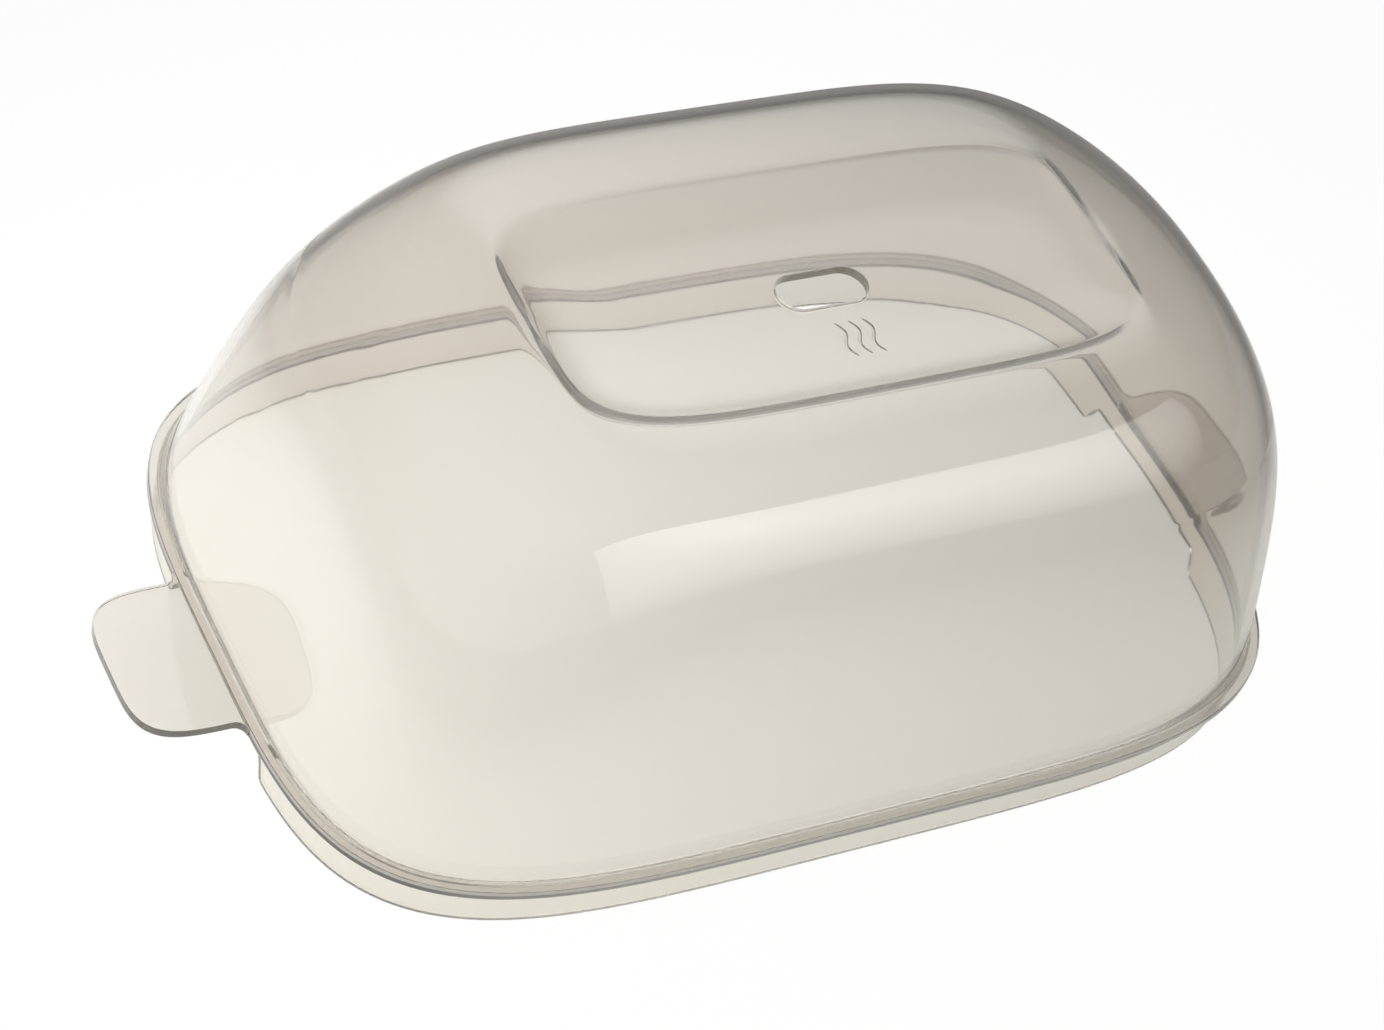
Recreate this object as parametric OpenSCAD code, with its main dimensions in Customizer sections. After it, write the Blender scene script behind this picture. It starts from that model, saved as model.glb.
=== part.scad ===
// Lid of an electric steam steriliser for baby bottles.
// The real lid is one clear, smoke-tinted moulding: a tall drafted dome with a sunk crown panel and a steam slot,
// standing on a flat rim flange, with a locating skirt below the flange and a finger tab at each end.
// Each region of the moulding is a solid of its own here, and the regions meet face to face.
// Millimetres. X runs along the length from tab to tab, Y across, Z up from the lower edge of the skirt.

/* [Rim flange] */
// Length of the rim flange between the finger tabs
rim_l = 280; // [240:5:320]
// Width of the rim flange
rim_w = 181; // [160:1:205]
// Thickness of the rim flange
flange_t = 3; // [2:0.1:5]
// How far the flange stands out past the dome wall
flange_out = 2.7; // [1:0.1:6]
// Squareness of the plan outline at its ends, where 2 is an ellipse
plan_end_power = 4.5; // [3:0.1:6]
// Squareness of the plan outline at its long sides
plan_side_power = 3.8; // [3:0.1:6]

/* [Wall] */
// Thickness of the moulded wall
wall = 2.5; // [1.5:0.1:3.5]

/* [Locating skirt] */
// Depth of the skirt below the flange
skirt_h = 12.6; // [9:0.1:20]
// Width of the notch under each finger tab, at the lower edge of the skirt
notch_w = 61.2; // [50:0.1:80]
// Height of the notch
notch_h = 6.7; // [6:0.1:8]
// Radius at each turn of the notch outline
notch_r = 2.5; // [1:0.1:2.9]
// Full-depth wall kept beside each notch on the arch that spans it
arch_foot = 5; // [2:0.1:10]

/* [Dome] */
// Height of the dome from the flange to the edge of the crown panel
dome_h = 98.1; // [80:0.1:120]
// How far each end wall leans in over the height of the dome
end_lean = 17.1; // [10:0.1:24]
// How far each side wall leans in over the height of the dome
side_lean = 17.9; // [10:0.1:24]
// How late the end walls turn over into the shoulder, where a high number turns late
end_turn = 9; // [7:0.1:12]
// How late the side walls turn over into the shoulder
side_turn = 11.3; // [8:0.1:14]
// Fullness of the side shoulders, where 1 is a slope and a high number is a flat top
side_fullness = 3; // [2:0.1:4]
// How much rounder the plan gets at the height of the shoulder
shoulder_round = 1.86; // [0:0.01:2]

/* [Crown panel] */
// Length of the sunk panel at its upper edge
crown_l = 156.6; // [130:0.1:180]
// Width of the sunk panel at its upper edge
crown_w = 71; // [55:0.1:85]
// Squareness of the long sides of the panel
crown_side_power = 4.8; // [3.5:0.1:6]
// Depth of the panel below its upper edge
crown_depth = 4.6; // [2:0.1:7]
// Width of the dished border around the panel, which falls steeply at its edge and flattens out
crown_slope = 25; // [15:0.5:28]

/* [Steam slot] */
// Length of the steam slot
slot_l = 24.4; // [16:0.1:40]
// Width of the steam slot
slot_w = 11; // [6:0.1:15]

/* [Finger tabs] */
// How far each tab reaches past the flange
tab_reach = 25.6; // [15:0.1:35]
// Width of each tab
tab_w = 43.8; // [30:0.1:60]
// Thickness of each tab
tab_t = 2.5; // [1.5:0.1:3]
// Squareness of the outline of each tab
tab_power = 4.1; // [2.5:0.1:6]
// Radius in the corner between tab and flange
tab_root_r = 3; // [1:0.1:6]

/* [Hidden] */
$fn = 48;
plan_n = 96; // points round each plan outline
wall_rings = 5; // rings from the flange to the start of the shoulder
shoulder_rings = 10; // rings over the shoulder
slope_rings = 10; // rings down the dished border of the panel
wall_share = 0.7; // share of the dome's height that is plain leaning wall
tab_steps = 12; // steps along half the outline of a tab
root_steps = 6; // steps round the corner between tab and flange
clear_plastic = [0.80, 0.78, 0.75, 0.75];
edge_plastic = [0.62, 0.60, 0.57, 0.85];

rim_a = rim_l / 2;
rim_b = rim_w / 2;
foot_a = rim_a - flange_out; // half length of the dome wall and skirt, outside
foot_b = rim_b - flange_out;
crown_a = crown_l / 2;
crown_b = crown_w / 2;
flange_z = skirt_h;
dome_z = skirt_h + flange_t;
crown_z = dome_z + dome_h;
floor_z = crown_z - crown_depth;
border_w = min(crown_slope, crown_b - slot_w / 2 - 3); // leaves a flat floor round the slot
slope_lead = wall / 4; // the border's inner face starts to fall this far outside the outer one
arch_half = notch_w / 2 + arch_foot;
far = rim_l; // past everything

function sign_of(v) = v < 0 ? -1 : 1;
function unit(v) = v / norm(v);
function lift(points, z) = [for (p = points) [p[0], p[1], z]];
function flat(points) = [for (p = points) [p[0], p[1]]];

// A rounded oblong between a rectangle and an ellipse, as a list of plan points
function oblong(a, b, p, q) = [
    for (i = [0 : plan_n - 1])
        let (c = cos(360 * i / plan_n), s = sin(360 * i / plan_n))
            [a * sign_of(c) * pow(abs(c), 2 / p), b * sign_of(s) * pow(abs(s), 2 / q)]
];

// Half length, half width and squareness of the dome at t, from 0 at the flange to 1 at the crown panel
function shoulder(t, turn, fullness) = 1 - pow(1 - pow(t, turn), 1 / fullness);
function dome_a(t) = foot_a - end_lean * t - (foot_a - end_lean - crown_a) * shoulder(t, end_turn, 1);
function dome_b(t) = foot_b - side_lean * t - (foot_b - side_lean - crown_b) * shoulder(t, side_turn, side_fullness);
function rounding(t) = pow(t, 4) * (1 - pow(t, 8)) / 0.385;
function dome_q(t) = plan_side_power + (crown_side_power - plan_side_power) * pow(t, 8) - shoulder_round * rounding(t);
function dome_ring(t) = lift(oblong(dome_a(t), dome_b(t), plan_end_power, dome_q(t)), dome_z + dome_h * t);

// Fall of the panel's border at a distance inside its upper edge: steep at the edge, level at the floor
function dish(u) = 1 - pow(1 - min(1, max(0, u)), 3);
function border_fall(inside) = crown_depth * dish(inside / border_w);
function crown_outline(inside) = oblong(crown_a - inside, crown_b - inside, plan_end_power, crown_side_power);

// Outward normals of the dome at every point of the ring at t, from the points around each
function ring_normals(t) =
    let (step = 0.05 * (1 - t) + 0.0001,
         ring = dome_ring(t),
         above = dome_ring(min(1, t + step)),
         below = dome_ring(max(0, t - step)))
        [for (i = [0 : plan_n - 1])
            unit(cross(ring[(i + 1) % plan_n] - ring[(i + plan_n - 1) % plan_n], above[i] - below[i]))];

// Inner face of the plain wall: straight in, by as much as keeps the wall's thickness square to the wall
function inner_wall_ring(t) =
    let (ring = dome_ring(t), normals = ring_normals(t))
        [for (i = [0 : plan_n - 1])
            let (n = normals[i])
                ring[i] - wall * [n[0], n[1], 0] / (n[0] * n[0] + n[1] * n[1])];

// Inner face of the shoulder: square to the surface, turning straight down at the edge of the panel
function inner_shoulder_ring(t, upright) =
    let (ring = dome_ring(t), normals = ring_normals(t), edge = dome_ring(1))
        [for (i = [0 : plan_n - 1])
            let (way = unit((1 - upright) * normals[i] + upright * [0, 0, 1]),
                 outside = norm([ring[i][0] - edge[i][0], ring[i][1] - edge[i][1]]))
                ring[i] - wall * way - [0, 0, border_fall(slope_lead - outside)]];

// A closed band through rings of equal length: the rings follow each other round its cross-section
module band(rings) {
    n = len(rings[0]);
    m = len(rings);
    points = [for (ring = rings) each ring];
    faces = [
        for (k = [0 : m - 1], i = [0 : n - 1])
            let (a = k * n + i, b = k * n + (i + 1) % n, c = ((k + 1) % m) * n + (i + 1) % n, d = ((k + 1) % m) * n + i)
                each [[a, c, b], [a, d, c]]
    ];
    polyhedron(points = points, faces = faces, convexity = 6);
}

function shoulder_t(v) = 1 - (1 - wall_share) * pow(1 - v, 3);

module dome_wall() {
    ts = [for (k = [0 : wall_rings]) wall_share * k / wall_rings];
    color(clear_plastic)
        band(concat([for (t = ts) dome_ring(t)],
                    [for (k = [wall_rings : -1 : 0]) inner_wall_ring(ts[k])]));
}

module dome_shoulder() {
    vs = [for (k = [0 : shoulder_rings]) k / shoulder_rings];
    color(clear_plastic)
        band(concat([for (v = vs) dome_ring(shoulder_t(v))],
                    [for (k = [shoulder_rings : -1 : 1])
                        inner_shoulder_ring(shoulder_t(vs[k]), pow(vs[k], 2))],
                    [inner_wall_ring(wall_share)]));
}

// Dished border of the sunk panel, from its upper edge down to the floor
module crown_border() {
    steps = [for (k = [0 : slope_rings]) border_w * k / slope_rings];
    color(clear_plastic)
        band(concat([for (s = steps) lift(crown_outline(s), crown_z - border_fall(s))],
                    [for (k = [slope_rings : -1 : 0])
                        lift(crown_outline(steps[k]), crown_z - wall - border_fall(steps[k] + slope_lead))]));
}

// Floor of the sunk panel, with the steam slot through it
module crown_floor() {
    color(clear_plastic)
        translate([0, 0, floor_z - wall])
            linear_extrude(wall)
                difference() {
                    polygon(crown_outline(border_w));
                    square([slot_l - slot_w, slot_w], center = true);
                    for (side = [-1, 1])
                        translate([side * (slot_l - slot_w) / 2, 0])
                            circle(d = slot_w);
                }
}

module rim_plan() {
    polygon(oblong(rim_a, rim_b, plan_end_power, plan_side_power));
}

// Plan of the wall where it passes through the flange, and of the skirt below it
module foot_plan() {
    difference() {
        polygon(flat(dome_ring(0)));
        polygon(flat(inner_wall_ring(0)));
    }
}

module rim_flange() {
    color(edge_plastic)
        translate([0, 0, flange_z])
            linear_extrude(flange_t)
                difference() {
                    rim_plan();
                    polygon(flat(inner_wall_ring(0)));
                }
}

// Skirt along one long side: +1 is the rear and -1 the front
module long_skirt(side) {
    color(edge_plastic)
        linear_extrude(skirt_h)
            intersection() {
                foot_plan();
                translate([-far, side > 0 ? arch_half : -far])
                    square([2 * far, far - arch_half]);
            }
}

// Outline of a notch, seen along X: upper corners rounded in, lower corners flared out
module notch_profile() {
    inner = notch_w / 2 - notch_r;
    translate([-inner, -wall])
        square([2 * inner, notch_h - notch_r + wall]);
    translate([-inner + notch_r, 0])
        square([2 * (inner - notch_r), notch_h]);
    for (side = [-1, 1]) {
        translate([side * (inner - notch_r), notch_h - notch_r])
            circle(r = notch_r);
        difference() {
            translate([side * (inner + notch_r / 2), (notch_r - wall) / 2])
                square([notch_r, notch_r + wall], center = true);
            translate([side * (inner + notch_r), notch_r])
                circle(r = notch_r);
        }
    }
}

// Skirt across one end, arched over the notch: +1 is the right end and -1 the left
module skirt_arch(side) {
    color(edge_plastic)
        difference() {
            linear_extrude(skirt_h)
                intersection() {
                    foot_plan();
                    translate([side > 0 ? 0 : -far, -arch_half])
                        square([far, 2 * arch_half]);
                }
            translate([side > 0 ? 0 : -far, 0, 0])
                rotate([90, 0, 90])
                    linear_extrude(far)
                        notch_profile();
        }
}

// Half of a tab's outline, from the edge of the flange round the root to the middle of the tip
tab_half_outline = [
    for (k = [0 : root_steps])
        let (turn = 180 + 90 * k / root_steps)
            [tab_root_r * (1 + cos(turn)), tab_w / 2 + tab_root_r * (1 + sin(turn))],
    for (k = [1 : tab_steps])
        let (reach = tab_reach * pow(sin(90 * k / tab_steps), 2 / tab_power),
             half = tab_w / 2 * pow(cos(90 * k / tab_steps), 2 / tab_power))
            if (reach > tab_root_r) [reach, half]
];

// Finger tab on one end: a flat tongue with rounded corners, seated on the edge of the flange
module finger_tab(side) {
    n = len(tab_half_outline);
    root = [-tab_root_r, tab_w / 2 + tab_root_r];
    other_half = [for (k = [n - 2 : -1 : 0]) [tab_half_outline[k][0], -tab_half_outline[k][1]]];
    color(edge_plastic)
        translate([side * rim_a, 0, flange_z])
            linear_extrude(tab_t)
                difference() {
                    mirror([side > 0 ? 0 : 1, 0])
                        polygon(concat([root], tab_half_outline, other_half, [[root[0], -root[1]]]));
                    translate([-side * rim_a, 0])
                        rim_plan();
                }
}

module front_skirt() { long_skirt(-1); }
module rear_skirt() { long_skirt(1); }
module left_skirt_arch() { skirt_arch(-1); }
module right_skirt_arch() { skirt_arch(1); }
module left_finger_tab() { finger_tab(-1); }
module right_finger_tab() { finger_tab(1); }

dome_wall();
dome_shoulder();
crown_border();
crown_floor();
rim_flange();
front_skirt();
rear_skirt();
left_skirt_arch();
right_skirt_arch();
left_finger_tab();
right_finger_tab();
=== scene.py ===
import math
import bpy
import bmesh
import numpy as np
from mathutils import Matrix, Vector


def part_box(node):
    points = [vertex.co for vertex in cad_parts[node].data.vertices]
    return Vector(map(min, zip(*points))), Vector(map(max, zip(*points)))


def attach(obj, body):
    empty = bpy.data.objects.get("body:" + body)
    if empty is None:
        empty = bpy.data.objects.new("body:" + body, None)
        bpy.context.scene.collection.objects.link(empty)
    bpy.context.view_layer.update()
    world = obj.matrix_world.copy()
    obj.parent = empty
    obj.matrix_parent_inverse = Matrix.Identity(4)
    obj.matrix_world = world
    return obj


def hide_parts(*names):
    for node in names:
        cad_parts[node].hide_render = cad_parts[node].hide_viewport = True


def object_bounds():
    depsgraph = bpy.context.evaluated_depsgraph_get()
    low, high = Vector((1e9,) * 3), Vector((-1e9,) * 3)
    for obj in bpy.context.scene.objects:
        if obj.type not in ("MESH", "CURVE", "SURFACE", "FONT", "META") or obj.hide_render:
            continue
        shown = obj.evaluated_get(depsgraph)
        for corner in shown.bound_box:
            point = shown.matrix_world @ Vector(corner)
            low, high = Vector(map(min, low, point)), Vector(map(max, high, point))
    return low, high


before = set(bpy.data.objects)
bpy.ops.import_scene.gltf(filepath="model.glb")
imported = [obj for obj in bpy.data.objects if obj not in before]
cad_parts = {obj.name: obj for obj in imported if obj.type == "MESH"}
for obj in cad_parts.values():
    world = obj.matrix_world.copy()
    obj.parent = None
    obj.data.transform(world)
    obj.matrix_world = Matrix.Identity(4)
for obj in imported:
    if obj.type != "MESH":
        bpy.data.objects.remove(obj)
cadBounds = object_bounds()
print("frame loaded:", len(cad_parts), "solids")

mm = 0.001

rimLow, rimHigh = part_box("rim_flange")
wallLow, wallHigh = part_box("dome_wall")
borderLow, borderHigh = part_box("crown_border")
floorLow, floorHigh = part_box("crown_floor")
tabLow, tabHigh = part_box("right_finger_tab")

lid = {
    "rimHalfLength": rimHigh.x,
    "rimHalfWidth": rimHigh.y,
    "footHalfLength": wallHigh.x,  # outside of the wall where it meets the flange
    "footHalfWidth": wallHigh.y,
    "flangeUnder": rimLow.z,
    "flangeTop": rimHigh.z,
    "crownHalfLength": borderHigh.x,
    "crownHalfWidth": borderHigh.y,
    "crownTop": borderHigh.z,
    "borderWidth": borderHigh.x - floorHigh.x,
    "floorTop": floorHigh.z,
    "wall": floorHigh.z - floorLow.z,
}

domeForm = {
    "endLean": 17.1 * mm,  # how far the end walls lean in over the dome
    "sideLean": 17.9 * mm,
    "endTurn": 9.0,  # high turns over late
    "sideTurn": 11.3,
    "sideFullness": 3.0,  # high gives a flatter top
    "endPower": 4.5,  # squareness of the plan, 2 is an ellipse
    "sidePower": 3.8,
    "panelPower": 4.8,
    "shoulderRound": 1.86,  # how much rounder the plan gets at the shoulder
    "dish": 3,  # high makes the sunk panel fall sooner from its edge
    "wallShare": 0.7,  # plain wall below this share of the height
    "wallRings": 18,
    "shoulderRings": 44,
    "borderRings": 26,
}

notchForm = {
    "halfWidth": 30.6 * mm,  # at the lower edge of the skirt
    "turn": 5.0 * mm,  # width of the S at each side
    "height": 6.7 * mm,
}

planForm = {"samples": 4001, "spacing": 3.0 * mm, "flankSpacing": 0.4 * mm, "flankReach": 4.5 * mm}


def planAngles():
    # angles round the plan, close together at the turns of the notches
    quarter = np.linspace(0.0, math.pi / 2, planForm["samples"])
    x = lid["footHalfLength"] * np.cos(quarter) ** (2 / domeForm["endPower"])
    y = lid["footHalfWidth"] * np.sin(quarter) ** (2 / domeForm["sidePower"])
    step = np.hypot(np.diff(x), np.diff(y))
    middleY = 0.5 * (y[1:] + y[:-1])
    flank = notchForm["halfWidth"] - notchForm["turn"] / 2
    atEnd = x[1:] > 0.5 * lid["footHalfLength"]
    nearFlank = np.exp(-((middleY - flank) / planForm["flankReach"]) ** 4) * atEnd
    density = 1 / planForm["spacing"] + nearFlank / planForm["flankSpacing"]
    total = np.concatenate([[0.0], np.cumsum(step * density)])
    count = int(round(total[-1]))
    picked = np.interp(np.linspace(0.0, total[-1], count + 1), total, quarter)
    second = math.pi - picked[::-1]
    half = np.concatenate([picked, second[1:]])
    return np.concatenate([half, (half + math.pi)[1:-1]])


angles = planAngles()
cosines = np.round(np.cos(angles), 12)
sines = np.round(np.sin(angles), 12)
planCount = len(angles)


def addBody(name, data):
    body = bpy.data.objects.new(name, data)
    bpy.context.scene.collection.objects.link(body)
    return body


def bodyFromWork(name, work):
    bmesh.ops.recalc_face_normals(work, faces=work.faces)
    mesh = bpy.data.meshes.new(name)
    work.to_mesh(mesh)
    work.free()
    return addBody(name, mesh)


def applyModifiers(body):
    # keeps the changed mesh and leaves no modifier behind
    bpy.context.view_layer.update()
    mesh = bpy.data.meshes.new_from_object(body.evaluated_get(bpy.context.evaluated_depsgraph_get()))
    old = body.data
    body.modifiers.clear()
    body.data = mesh
    bpy.data.meshes.remove(old)


def signedPower(values, power):
    return np.sign(values) * np.abs(values) ** power


def oblong(a, b, p, q, z):
    # rounded oblong between a rectangle and an ellipse
    x = a * signedPower(cosines, 2 / p)
    y = b * signedPower(sines, 2 / q)
    return np.stack([x, y, np.full(planCount, z)], axis=1)


def footRing(out, z):
    a, b = lid["footHalfLength"] + out, lid["footHalfWidth"] + out
    return oblong(a, b, domeForm["endPower"], domeForm["sidePower"], z)


def arcPoints(radius, startTurn, endTurn, steps):
    # points of an arc about its own centre, as (out, up)
    turns = [math.radians(startTurn + (endTurn - startTurn) * k / steps) for k in range(steps + 1)]
    return [(radius * math.cos(t), radius * math.sin(t)) for t in turns]


def shoulderShare(t, turn, fullness):
    return 1 - (1 - t ** turn) ** (1 / fullness)


def domeRing(t):
    # ring of the outer surface, t is 0 at the flange and 1 at the sunk panel
    footA, footB = lid["footHalfLength"], lid["footHalfWidth"]
    endFall = footA - domeForm["endLean"] - lid["crownHalfLength"]
    sideFall = footB - domeForm["sideLean"] - lid["crownHalfWidth"]
    a = footA - domeForm["endLean"] * t - endFall * shoulderShare(t, domeForm["endTurn"], 1)
    sideShare = shoulderShare(t, domeForm["sideTurn"], domeForm["sideFullness"])
    b = footB - domeForm["sideLean"] * t - sideFall * sideShare
    peak = 0.385  # highest value of the swelling below
    rounding = t ** 4 * (1 - t ** 8) / peak
    q = domeForm["sidePower"] + (domeForm["panelPower"] - domeForm["sidePower"]) * t ** 8
    q -= domeForm["shoulderRound"] * rounding
    height = lid["crownTop"] - lid["flangeTop"]
    return oblong(a, b, domeForm["endPower"], q, lid["flangeTop"] + height * t)


def ringNormals(t):
    # outward, from the neighbours round the plan and up the wall, which lie closer near the panel
    step = 0.05 * (1 - t) + 0.0001
    ring = domeRing(t)
    along = np.roll(ring, -1, axis=0) - np.roll(ring, 1, axis=0)
    up = domeRing(min(1.0, t + step)) - domeRing(max(0.0, t - step))
    normals = np.cross(along, up)
    return normals / np.linalg.norm(normals, axis=1)[:, None]


def borderFall(inside):
    # fall of the dished panel: steep at its edge and level at the floor
    share = np.clip(inside / lid["borderWidth"], 0.0, 1.0)
    return (lid["crownTop"] - lid["floorTop"]) * (1 - (1 - share) ** domeForm["dish"])


def innerRing(t):
    # inner face: level rings up the plain wall, square to the surface over the shoulder
    ring = domeRing(t)
    normals = ringNormals(t)
    if t <= domeForm["wallShare"]:
        across = normals[:, 0] ** 2 + normals[:, 1] ** 2
        return ring - lid["wall"] * normals * np.array([1, 1, 0]) / across[:, None]
    upright = (1 - ((1 - t) / (1 - domeForm["wallShare"])) ** (1 / 3)) ** 2
    way = (1 - upright) * normals + upright * np.array([0, 0, 1])
    way /= np.linalg.norm(way, axis=1)[:, None]
    edge = domeRing(1.0)
    outside = np.hypot(ring[:, 0] - edge[:, 0], ring[:, 1] - edge[:, 1])
    inner = ring - lid["wall"] * way
    inner[:, 2] -= borderFall(lid["wall"] / 2 - outside)
    return inner


def domeSteps():
    lower = [domeForm["wallShare"] * k / domeForm["wallRings"] for k in range(domeForm["wallRings"])]
    upper = [
        1 - (1 - domeForm["wallShare"]) * (1 - k / domeForm["shoulderRings"]) ** 3
        for k in range(domeForm["shoulderRings"] + 1)
    ]
    return lower + upper


def borderRing(inside, fall, z):
    a = lid["crownHalfLength"] - inside
    b = lid["crownHalfWidth"] - inside
    ring = oblong(a, b, domeForm["endPower"], domeForm["panelPower"], z)
    ring[:, 2] -= fall
    return ring


slotForm = {"length": 24.4 * mm, "width": 11.0 * mm, "floorRings": 6}


def slotRing(out, z):
    # round-ended slot, its points in the same directions as those of the panel's edge
    edge = borderRing(lid["borderWidth"], 0.0, z)
    radius = slotForm["width"] / 2 + out
    straight = (slotForm["length"] - slotForm["width"]) / 2
    far = np.hypot(edge[:, 0], edge[:, 1])
    dx, dy = np.abs(edge[:, 0] / far), np.abs(edge[:, 1] / far)
    onSide = radius * dx <= straight * dy
    reach = np.where(
        onSide,
        radius / np.maximum(dy, 1e-9),
        straight * dx + np.sqrt(np.maximum(radius ** 2 - (straight * dy) ** 2, 0.0)),
    )
    ring = edge.copy()
    ring[:, 0] = np.sign(edge[:, 0]) * reach * dx
    ring[:, 1] = np.sign(edge[:, 1]) * reach * dy
    return ring


def floorRings(z, outward):
    inner, outer = slotRing(edgeForm["slotRadius"], z), borderRing(lid["borderWidth"], 0.0, z)
    shares = [0.01] + [k / slotForm["floorRings"] for k in range(1, slotForm["floorRings"])] + [0.99]
    rings = [inner * (1 - s) + outer * s for s in shares]
    return rings if outward else rings[::-1]


def notchRise(x, y):
    # height of the skirt's lower edge: an S up into the notch at each end
    start = notchForm["halfWidth"] - notchForm["turn"]
    share = np.clip((np.abs(y) - start) / notchForm["turn"], 0.0, 1.0)
    smooth = share ** 3 * (share * (6 * share - 15) + 10)
    atEnd = np.abs(x) > 0.6 * lid["footHalfLength"]
    return notchForm["height"] * (1 - smooth) * atEnd


def liftNotch(ring):
    depth = lid["flangeUnder"]
    below = np.clip(1 - ring[:, 2] / depth, 0.0, 1.0)
    lifted = ring.copy()
    lifted[:, 2] += notchRise(ring[:, 0], ring[:, 1]) * below
    return lifted


edgeForm = {
    "footFillet": 0.9 * mm,  # wall into flange
    "rimRadius": 0.4 * mm,  # outer edges of the flange
    "underFillet": 0.35 * mm,
    "skirtRadius": 0.6 * mm,
    "slotRadius": 0.25 * mm,
    "crestReach": 0.9 * mm,  # softness of the crest along the sides of the sunk panel
    "crestEndReach": 4.0 * mm,  # and across its ends
    "arcSteps": 5,
    "underSteps": 3,
    "skirtSteps": 8,
    "crestSamples": 17,
    "sharpAngle": 32,  # degrees between faces from which an edge stays sharp
}


def flangeAndSkirtRings():
    e, steps = edgeForm, edgeForm["arcSteps"]
    land = lid["rimHalfLength"] - lid["footHalfLength"]
    top, under = lid["flangeTop"], lid["flangeUnder"]
    inner = innerRing(0.0)
    outer = footRing(0.0, 0.0)
    rings = []
    for out, up in arcPoints(e["footFillet"], 180, 270, steps):
        rings.append(footRing(e["footFillet"] + out, top + e["footFillet"] + up))
    for out, up in arcPoints(e["rimRadius"], 90, 0, steps):
        rings.append(footRing(land - e["rimRadius"] + out, top - e["rimRadius"] + up))
    for out, up in arcPoints(e["rimRadius"], 0, -90, steps):
        rings.append(footRing(land - e["rimRadius"] + out, under + e["rimRadius"] + up))
    for out, up in arcPoints(e["underFillet"], 90, 180, e["underSteps"]):
        rings.append(footRing(e["underFillet"] + out, under - e["underFillet"] + up))
    for k in range(1, e["skirtSteps"]):
        share = k / e["skirtSteps"]
        rings.append(footRing(0.0, (under - e["underFillet"]) * (1 - share) + e["skirtRadius"] * share))
    for out, up in arcPoints(e["skirtRadius"], 0, -90, steps):
        rings.append(footRing(-e["skirtRadius"] + out, e["skirtRadius"] + up))
    across = inner - outer
    width = np.hypot(across[:, 0], across[:, 1])[:, None]
    for out, up in arcPoints(e["skirtRadius"], -90, -180, steps):
        ring = outer + across * (1 - (e["skirtRadius"] + out) / width)
        ring[:, 2] = e["skirtRadius"] + up
        rings.append(ring)
    for k in range(1, e["skirtSteps"] + 1):
        share = k / e["skirtSteps"]
        ring = inner.copy()
        ring[:, 2] = e["skirtRadius"] * (1 - share) + under * share
        rings.append(ring)
    return [liftNotch(ring) for ring in rings]


def softened(rings):
    # rounds the crest: each point is averaged with what lies just up and down the profile
    stack = np.array(rings)
    steps = np.linalg.norm(np.diff(stack, axis=0), axis=2)
    along = np.concatenate([np.zeros((1, planCount)), np.cumsum(steps, axis=0)])
    edge = domeRing(1.0)
    sideways = np.roll(edge, -1, axis=0) - np.roll(edge, 1, axis=0)
    # 1 across the ends of the panel and 0 along its sides
    atEnd = 1 - (1 - (sideways[:, 1] / np.linalg.norm(sideways, axis=1)) ** 2) ** 3
    widest = edgeForm["crestReach"] * (1 - atEnd) + edgeForm["crestEndReach"] * atEnd
    reach = np.minimum(widest, np.minimum(along, along[-1] - along))
    offsets = np.linspace(-1.0, 1.0, edgeForm["crestSamples"])
    weights = (1 - np.abs(offsets)) / np.sum(1 - np.abs(offsets))
    soft = np.zeros_like(stack)
    for i in range(planCount):
        for offset, weight in zip(offsets, weights):
            at = along[:, i] + offset * reach[:, i]
            for axis in range(3):
                soft[:, i, axis] += weight * np.interp(at, along[:, i], stack[:, i, axis])
    return list(soft)


def shellRings():
    steps = domeSteps()
    e, wall = edgeForm, lid["wall"]
    border = [(k / domeForm["borderRings"]) ** 2 for k in range(domeForm["borderRings"] + 1)]
    rings = []
    # out over the top: slot edge, floor, border, dome
    for out, up in arcPoints(e["slotRadius"], 180, 90, e["arcSteps"]):
        rings.append(slotRing(e["slotRadius"] + out, lid["floorTop"] - e["slotRadius"] + up))
    rings += floorRings(lid["floorTop"], True)
    outer = []
    for share in border[::-1]:
        inside = lid["borderWidth"] * share
        outer.append(borderRing(inside, borderFall(inside), lid["crownTop"]))
    filletShare = e["footFillet"] / (lid["crownTop"] - lid["flangeTop"])
    for t in steps[-2::-1]:
        if t > filletShare:
            outer.append(domeRing(t))
    rings += softened(outer) + flangeAndSkirtRings()
    # back up the inside: dome, border, floor, slot edge
    inner = [innerRing(t) for t in steps]
    for share in border[1:]:
        inside = lid["borderWidth"] * share
        inner.append(borderRing(inside, borderFall(inside + wall / 2), lid["crownTop"] - wall))
    rings += softened(inner) + floorRings(lid["floorTop"] - wall, False)
    for out, up in arcPoints(e["slotRadius"], -90, -180, e["arcSteps"]):
        rings.append(slotRing(e["slotRadius"] + out, lid["floorTop"] - wall + e["slotRadius"] + up))
    return rings


def meshFromRings(name, rings):
    # closed band: each ring is joined to the next, and the last to the first
    points = np.concatenate(rings)
    n, m = planCount, len(rings)
    faces = []
    for k in range(m):
        this, following = k * n, ((k + 1) % m) * n
        for i in range(n):
            j = (i + 1) % n
            faces.append((this + i, following + i, following + j, this + j))
    mesh = bpy.data.meshes.new(name)
    mesh.from_pydata(points.tolist(), [], faces)
    mesh.validate()
    return addBody(name, mesh)


tabForm = {
    "power": 4.1,
    "rootRadius": 3.0 * mm,
    "edgeRadius": 0.25 * mm,
    "sunk": 1.6 * mm,  # how far the tab runs into the flange
    "underGap": 0.02 * mm,  # its underside stays this much above that of the flange
    "outlineSteps": 40,
    "rootSteps": 8,
    "edgeSteps": 5,
}


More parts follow.
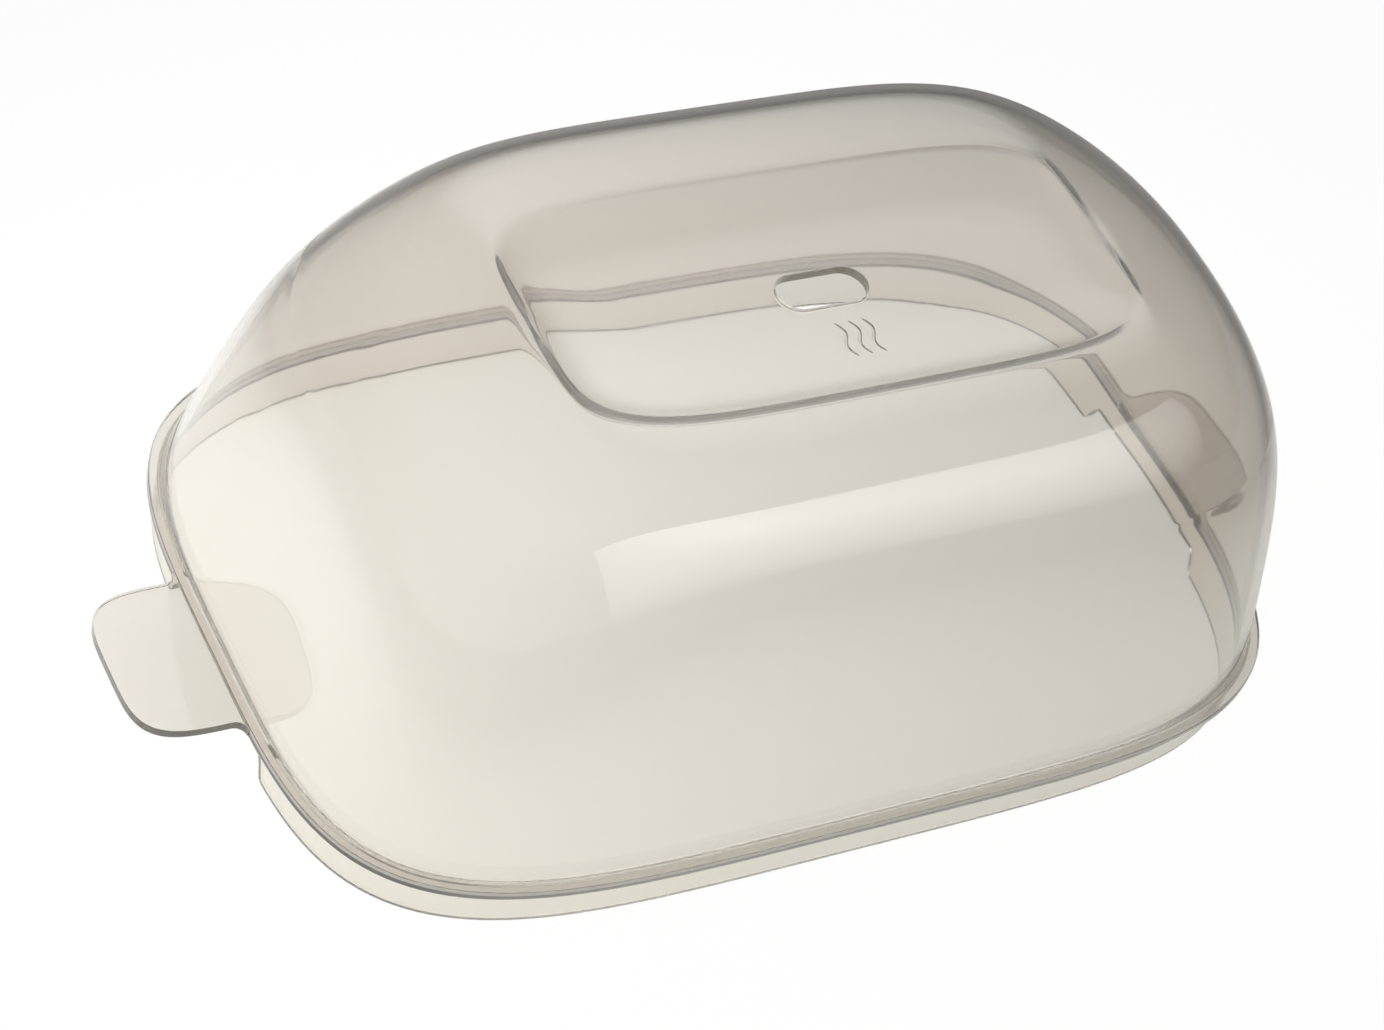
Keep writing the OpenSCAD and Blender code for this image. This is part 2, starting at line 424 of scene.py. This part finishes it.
def tabOutline():
    # half of the outline from the root to the tip, then its mirror
    rootRadius, reach = tabForm["rootRadius"], tabHigh.x - lid["rimHalfLength"]
    half = tabHigh.y - rootRadius
    points = [(-tabForm["sunk"], half + rootRadius)]
    for out, up in arcPoints(rootRadius, 180, 270, tabForm["rootSteps"]):
        points.append((rootRadius + out, half + rootRadius + up))
    for k in range(1, tabForm["outlineSteps"] + 1):
        turn = math.pi / 2 * k / tabForm["outlineSteps"]
        x = reach * math.sin(turn) ** (2 / tabForm["power"])
        y = half * max(math.cos(turn), 0.0) ** (2 / tabForm["power"])
        if x > rootRadius + 0.5 * mm:
            points.append((x, y))
    mirrored = [(x, -y) for x, y in points[-2::-1]]
    return np.array(points + mirrored)


def fingerTab(name, side):
    outline = tabOutline()
    along = np.roll(outline, -1, axis=0) - np.roll(outline, 1, axis=0)
    outward = np.stack([-along[:, 1], along[:, 0]], axis=1)
    outward /= np.linalg.norm(outward, axis=1)[:, None]
    outward[0] = outward[-1] = (0.0, 0.0)
    r, steps = tabForm["edgeRadius"], tabForm["edgeSteps"]
    low, high = tabLow.z + tabForm["underGap"], tabHigh.z
    profile = [(out - r, low + r + up) for out, up in arcPoints(r, -90, 0, steps)]
    profile += [(out - r, high - r + up) for out, up in arcPoints(r, 0, 90, steps)]
    work = bmesh.new()
    rows = []
    for inset, z in profile:
        ring = outline + outward * inset
        rows.append([work.verts.new((side * (lid["rimHalfLength"] + x), y, z)) for x, y in ring])
    n = len(outline)
    for lower, upper in zip(rows, rows[1:]):
        for i in range(n):
            j = (i + 1) % n
            work.faces.new((lower[i], lower[j], upper[j], upper[i]))
    work.faces.new(rows[0])
    work.faces.new(rows[-1][::-1])
    return bodyFromWork(name, work)


def joinSolid(body, tool, operation):
    # adds or cuts a closed solid
    modifier = body.modifiers.new("join", "BOOLEAN")
    modifier.object = tool
    modifier.operation = operation
    modifier.solver = "EXACT"
    applyModifiers(body)
    bpy.data.objects.remove(tool)


def smoothFaces(body, sharpAngle):
    work = bmesh.new()
    work.from_mesh(body.data)
    for face in work.faces:
        face.smooth = True
    for edge in work.edges:
        edge.smooth = len(edge.link_faces) == 2 and edge.calc_face_angle(0.0) < math.radians(sharpAngle)
    work.to_mesh(body.data)
    work.free()


def steadyNormals(body):
    # large flat faces keep their own shading beside the small rounded edges
    modifier = body.modifiers.new("steady", "WEIGHTED_NORMAL")
    modifier.keep_sharp = True
    modifier.weight = 50
    applyModifiers(body)


steamForm = {
    "waves": 3,
    "gap": 3.8 * mm,
    "length": 12.0 * mm,
    "swing": 0.9 * mm,
    "middle": (1.5 * mm, -17.0 * mm),
    "radius": 0.6 * mm,
    "depth": 0.28 * mm,
    "turns": 1.2,
    "steps": 36,
    "sides": 16,
}


def panelHeight(y):
    # upper face of the dished panel between its ends
    inside = np.minimum(lid["crownHalfWidth"] - np.abs(y), lid["borderWidth"])
    return lid["crownTop"] - borderFall(inside)


def steamWave(offset):
    # a thin wavy rod that lies in the panel and is cut out of it as a groove
    w = steamForm
    work = bmesh.new()
    rows = []
    for k in range(w["steps"] + 1):
        share = k / w["steps"] - 0.5
        y = w["middle"][1] + w["length"] * share
        x = w["middle"][0] + offset + w["swing"] * math.sin(2 * w["turns"] * math.pi * share)
        radius = w["radius"] * max(0.15, 1 - abs(2 * share) ** 8) ** 0.5
        z = float(panelHeight(y)) + w["radius"] - w["depth"]
        turns = [2 * math.pi * j / w["sides"] for j in range(w["sides"])]
        rows.append([work.verts.new((x + radius * math.cos(t), y, z + radius * math.sin(t))) for t in turns])
    for row, following in zip(rows, rows[1:]):
        for j in range(w["sides"]):
            beside = (j + 1) % w["sides"]
            work.faces.new((row[j], row[beside], following[beside], following[j]))
    work.faces.new(rows[0])
    work.faces.new(rows[-1][::-1])
    return bodyFromWork("steamWave", work)


def makeShell():
    shell = meshFromRings("clearLid", shellRings())
    work = bmesh.new()
    work.from_mesh(shell.data)
    bmesh.ops.recalc_face_normals(work, faces=work.faces)
    work.to_mesh(shell.data)
    work.free()
    print("shell rings joined:", len(shell.data.polygons), "faces")
    joinSolid(shell, fingerTab("rightTab", 1), "UNION")
    joinSolid(shell, fingerTab("leftTab", -1), "UNION")
    for k in range(steamForm["waves"]):
        offset = (k - (steamForm["waves"] - 1) / 2) * steamForm["gap"]
        joinSolid(shell, steamWave(offset), "DIFFERENCE")
    smoothFaces(shell, edgeForm["sharpAngle"])
    steadyNormals(shell)
    print("finger tabs joined and steam waves cut:", len(shell.data.polygons), "faces")
    return shell


def mathNode(tree, operation, first, second):
    # a maths node, whose two inputs are numbers or the outputs of other nodes
    node = tree.nodes.new("ShaderNodeMath")
    node.operation = operation
    for socket, value in zip(node.inputs, (first, second)):
        if isinstance(value, bpy.types.NodeSocket):
            tree.links.new(value, socket)
        else:
            socket.default_value = value
    return node.outputs["Value"]


def rangeNode(tree, value, start, end, low, high, smooth=True):
    # turns a value between start and end into one between low and high
    node = tree.nodes.new("ShaderNodeMapRange")
    node.interpolation_type = "SMOOTHSTEP" if smooth else "LINEAR"
    tree.links.new(value, node.inputs["Value"])
    for name, number in (("From Min", start), ("From Max", end), ("To Min", low), ("To Max", high)):
        node.inputs[name].default_value = number
    return node.outputs["Result"]


plasticLook = {
    "tint": (0.885, 0.85, 0.814, 1.0),
    "refraction": 1.58,
    "clearness": 0.965,  # the rest is a faint haze on every face
    "roughness": 0.03,
    "roughnessSpread": 0.02,
    "hazeScale": 35.0,
    "hazeDetail": 4.0,
    "paintedEdgeShade": (0.27, 0.26, 0.25, 1.0),  # painted shade on the upright edges of the flange and tabs, for the darkness of light led along inside them
    "flatShadeShare": 0.18,  # how far their flat faces take the same painted shade
    "smoke": (0.75, 0.735, 0.69, 1.0),
    "smokeDensity": 45.0,
    "shade": (0.99, 0.985, 0.96, 1.0),  # what each face lets through into the shadow
}


def markRimShade(shell):
    # writes on each face of the flange and tabs how far it takes the painted edge shade
    mesh = shell.data
    count = len(mesh.polygons)
    middles, normals = np.zeros(count * 3), np.zeros(count * 3)
    mesh.polygons.foreach_get("center", middles)
    mesh.polygons.foreach_get("normal", normals)
    x, y, z = np.abs(middles.reshape(-1, 3).T)
    alongShare = (x / lid["footHalfLength"]) ** domeForm["endPower"]
    acrossShare = (y / lid["footHalfWidth"]) ** domeForm["sidePower"]
    outside = alongShare + acrossShare > 1.01  # just clear of the wall's own foot
    atFlange = (z > lid["flangeUnder"] - 0.1 * mm) & (z < lid["flangeTop"] + 0.1 * mm)
    upright = np.abs(normals.reshape(-1, 3)[:, 2]) < 0.5
    share = np.where(upright, 1.0, plasticLook["flatShadeShare"]) * (outside & atFlange)
    mark = mesh.attributes.new("rim", "FLOAT", "FACE")
    mark.data.foreach_set("value", share)
    print("rim faces marked:", int(np.sum(share > 0)))


def clearPlastic():
    look = plasticLook
    material = bpy.data.materials.new("clearSmokePlastic")
    material.use_nodes = True
    tree = material.node_tree
    nodes, links = tree.nodes, tree.links
    nodes.clear()
    output = nodes.new("ShaderNodeOutputMaterial")
    shader = nodes.new("ShaderNodeBsdfPrincipled")
    rim = nodes.new("ShaderNodeAttribute")
    rim.attribute_name = "rim"
    # painted shade: the edges of the flange and tabs, and more faintly their flat faces, get a darker base
    # colour for the darkness of light led along inside them
    tone = nodes.new("ShaderNodeMix")
    tone.data_type = "RGBA"
    tone.inputs["A"].default_value = look["tint"]
    tone.inputs["B"].default_value = look["paintedEdgeShade"]
    links.new(rim.outputs["Fac"], tone.inputs["Factor"])
    links.new(tone.outputs["Result"], shader.inputs["Base Color"])
    shader.inputs["IOR"].default_value = look["refraction"]
    shader.inputs["Transmission Weight"].default_value = look["clearness"]
    place = nodes.new("ShaderNodeTexCoord")
    haze = nodes.new("ShaderNodeTexNoise")
    haze.inputs["Scale"].default_value = look["hazeScale"]
    haze.inputs["Detail"].default_value = look["hazeDetail"]
    links.new(place.outputs["Object"], haze.inputs["Vector"])
    low, high = look["roughness"] - look["roughnessSpread"], look["roughness"] + look["roughnessSpread"]
    uneven = rangeNode(tree, haze.outputs["Fac"], 0.0, 1.0, low, high, smooth=False)
    links.new(uneven, shader.inputs["Roughness"])
    # lamps shine through the clear wall and leave only a light shadow
    rays = nodes.new("ShaderNodeLightPath")
    passing = mathNode(tree, "MAXIMUM", rays.outputs["Is Shadow Ray"], rays.outputs["Is Diffuse Ray"])
    clear = nodes.new("ShaderNodeBsdfTransparent")
    clear.inputs["Color"].default_value = look["shade"]
    both = nodes.new("ShaderNodeMixShader")
    links.new(passing, both.inputs["Fac"])
    links.new(shader.outputs["BSDF"], both.inputs[1])
    links.new(clear.outputs["BSDF"], both.inputs[2])
    links.new(both.outputs["Shader"], output.inputs["Surface"])
    smoke = nodes.new("ShaderNodeVolumeAbsorption")
    smoke.inputs["Color"].default_value = look["smoke"]
    smoke.inputs["Density"].default_value = look["smokeDensity"]
    links.new(smoke.outputs["Volume"], output.inputs["Volume"])
    return material


stageLook = {
    "floor": (0.93, 0.933, 0.908, 1.0),
    "farFloor": (0.2, 0.2, 0.2, 1.0),
    "paleReach": 0.19,  # how far out the floor starts to darken, in the plastic and the gloss
    "darkReach": 0.36,
    "stretch": 1.35,  # how much sooner it darkens across the lid than along it
    "size": 3.0,
    "floorGap": 0.2 * mm,  # between the floor and the lid that stands over it
    "white": 1.0,
    "whiteSeen": 0.97,  # how far the floor is a plain white backdrop when looked at
    "whiteMirrored": 0.1,  # and when it shows through the plastic or in its gloss
    "ceiling": 0.62,  # brightness of the room overhead
    "sides": 0.1,  # and low down all round
    "dim": 0.35,  # height, as a share of the sky, up to which the room is dim
    "deepFaces": 2.5,  # light that has crossed more faces than this is led along inside the plastic
    "deepShare": 0.15,  # what is left of the room for such light
    "bounces": 48,  # light turns many times inside a clear wall
    # pale walls that fade out round their middle: one behind the lid, one in front of it
    "glows": [
        {"azimuth": 31.0, "elevation": 30.0, "reach": 28.0, "brightness": 0.9},
        {"azimuth": 235.0, "elevation": 5.0, "reach": 75.0, "brightness": 0.4},
    ],
    # soft lamps, each turned to the lid: azimuth runs from the rear towards the right tab
    "key": {
        "azimuth": 282.0,
        "elevation": 42.0,
        "tilt": 0.0,
        "distance": 0.5,
        "width": 0.5,
        "height": 0.5,
        "spread": 180.0,
        "power": 2.3,
    },
    "window": {
        "azimuth": 152.5,
        "elevation": 24.0,
        "tilt": 20.0,
        "distance": 0.95,
        "width": 1.65,
        "height": 1.2,
        "spread": 110.0,
        "power": 5.2,
    },
}


def paleFloor():
    mesh = bpy.data.meshes.new("floor")
    half = stageLook["size"] / 2
    corners = [(-half, -half, 0), (half, -half, 0), (half, half, 0), (-half, half, 0)]
    mesh.from_pydata(corners, [], [(0, 1, 2, 3)])
    floor = addBody("floor", mesh)
    floor.location.z = cadBounds[0][2] - stageLook["floorGap"]
    material = bpy.data.materials.new("paleFloor")
    material.use_nodes = True
    tree = material.node_tree
    nodes, links = tree.nodes, tree.links
    shader = nodes["Principled BSDF"]
    place = nodes.new("ShaderNodeTexCoord")
    stretched = nodes.new("ShaderNodeVectorMath")
    stretched.operation = "MULTIPLY"
    stretched.inputs[1].default_value = (1.0, stageLook["stretch"], 0.0)
    links.new(place.outputs["Object"], stretched.inputs[0])
    away = nodes.new("ShaderNodeVectorMath")
    away.operation = "LENGTH"
    links.new(stretched.outputs["Vector"], away.inputs[0])
    fade = rangeNode(tree, away.outputs["Value"], stageLook["paleReach"], stageLook["darkReach"], 0.0, 1.0)
    tone = nodes.new("ShaderNodeMix")
    tone.data_type = "RGBA"
    tone.inputs["A"].default_value = stageLook["floor"]
    tone.inputs["B"].default_value = stageLook["farFloor"]
    links.new(fade, tone.inputs["Factor"])
    links.new(tone.outputs["Result"], shader.inputs["Base Color"])
    shader.inputs["Roughness"].default_value = 1.0
    shader.inputs["Specular IOR Level"].default_value = 0.0
    white = nodes.new("ShaderNodeEmission")
    white.inputs["Strength"].default_value = stageLook["white"]
    rays = nodes.new("ShaderNodeLightPath")
    looked = mathNode(tree, "MULTIPLY", rays.outputs["Is Camera Ray"], stageLook["whiteSeen"])
    plastic = mathNode(tree, "MAXIMUM", rays.outputs["Is Glossy Ray"], rays.outputs["Is Transmission Ray"])
    mirrored = mathNode(tree, "MULTIPLY", plastic, stageLook["whiteMirrored"])
    both = nodes.new("ShaderNodeMixShader")
    links.new(mathNode(tree, "MAXIMUM", looked, mirrored), both.inputs["Fac"])
    links.new(shader.outputs["BSDF"], both.inputs[1])
    links.new(white.outputs["Emission"], both.inputs[2])
    links.new(both.outputs["Shader"], nodes["Material Output"].inputs["Surface"])
    mesh.materials.append(material)


def wayTo(place):
    az, el = math.radians(place["azimuth"]), math.radians(place["elevation"])
    return Vector((math.sin(az) * math.cos(el), math.cos(az) * math.cos(el), math.sin(el)))


def softLamp(name):
    w = stageLook[name]
    way = wayTo(w)
    data = bpy.data.lights.new(name, "AREA")
    data.shape = "RECTANGLE"
    data.size, data.size_y, data.energy = w["width"], w["height"], w["power"]
    data.spread = math.radians(w["spread"])
    lamp = addBody(name, data)
    lamp.location = way * w["distance"]
    facing = wayTo({"azimuth": w["azimuth"], "elevation": w["elevation"] + w["tilt"]})
    lamp.rotation_euler = facing.to_track_quat("Z", "Y").to_euler()
    lamp.visible_camera = False
    return lamp


def studioLight():
    # room that is dark low down and bright overhead, with a white backdrop straight behind the lid
    world = bpy.data.worlds.new("studio")
    bpy.context.scene.world = world
    world.use_nodes = True
    tree = world.node_tree
    nodes, links = tree.nodes, tree.links
    background = nodes["Background"]
    background.inputs["Color"].default_value = (1, 1, 1, 1)
    place = nodes.new("ShaderNodeTexCoord")
    parts = nodes.new("ShaderNodeSeparateXYZ")
    links.new(place.outputs["Generated"], parts.inputs["Vector"])
    low, high = stageLook["sides"], stageLook["ceiling"]
    room = rangeNode(tree, parts.outputs["Z"], stageLook["dim"], 1.0, low, high)
    for glow in stageLook["glows"]:
        near = nodes.new("ShaderNodeVectorMath")
        near.operation = "DOT_PRODUCT"
        near.inputs[1].default_value = wayTo(glow)
        links.new(place.outputs["Generated"], near.inputs[0])
        outermost = math.cos(math.radians(glow["reach"]))
        soft = rangeNode(tree, near.outputs["Value"], outermost, 1.0, 0.0, glow["brightness"])
        room = mathNode(tree, "ADD", room, soft)
    rays = nodes.new("ShaderNodeLightPath")
    # far along inside the plastic, where little of the room gets in
    deep = mathNode(tree, "GREATER_THAN", rays.outputs["Transmission Depth"], stageLook["deepFaces"])
    guided = mathNode(tree, "MINIMUM", rays.outputs["Glossy Depth"], deep)
    dimmed = rangeNode(tree, guided, 0.0, 1.0, 1.0, stageLook["deepShare"], smooth=False)
    lit = mathNode(tree, "MULTIPLY", room, dimmed)
    # through the plastic without a reflection on the way
    straight = mathNode(tree, "LESS_THAN", rays.outputs["Glossy Depth"], 0.5)
    through = mathNode(tree, "MULTIPLY", rays.outputs["Is Transmission Ray"], straight)
    strength = nodes.new("ShaderNodeMix")
    strength.data_type = "FLOAT"
    links.new(mathNode(tree, "MAXIMUM", rays.outputs["Is Camera Ray"], through), strength.inputs["Factor"])
    links.new(lit, strength.inputs["A"])
    strength.inputs["B"].default_value = 1.0
    links.new(strength.outputs["Result"], background.inputs["Strength"])
    key = softLamp("key")
    key.visible_glossy = False  # lights the floor, and leaves no square in the gloss
    key.visible_transmission = False
    window = softLamp("window")
    window.visible_diffuse = False  # seen in the gloss alone


cameraPlace = {
    "aim": (-25.7 * mm, -14.7 * mm, 50.0 * mm),
    "azimuth": -41.617,  # degrees round from the front
    "elevation": 45.71,
    "distance": 942.1 * mm,
    "roll": 21.047,
    "lens": 101.03,
}


def lookingCamera():
    c = cameraPlace
    az, el = math.radians(c["azimuth"]), math.radians(c["elevation"])
    back = Vector((math.sin(az) * math.cos(el), -math.cos(az) * math.cos(el), math.sin(el)))
    right = Vector((0, 0, 1)).cross(back).normalized()
    up = back.cross(right)
    turn = Matrix((right, up, back)).transposed().to_4x4()
    data = bpy.data.cameras.new("camera")
    data.lens = c["lens"]
    data.sensor_width = 36.0
    camera = addBody("camera", data)
    place = Matrix.Translation(Vector(c["aim"]) + back * c["distance"])
    camera.matrix_world = place @ turn @ Matrix.Rotation(math.radians(c["roll"]), 4, "Z")
    bpy.context.scene.camera = camera


lookingCamera()
paleFloor()
studioLight()
print("camera, floor and light set")
shell = makeShell()
markRimShade(shell)
shell.data.materials.clear()
shell.data.materials.append(clearPlastic())
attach(shell, "root")
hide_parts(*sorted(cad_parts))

scene = bpy.context.scene
scene.view_settings.view_transform = "Standard"
for limit in ("max_bounces", "transmission_bounces", "glossy_bounces"):
    setattr(scene.cycles, limit, stageLook["bounces"])
print("dressed")
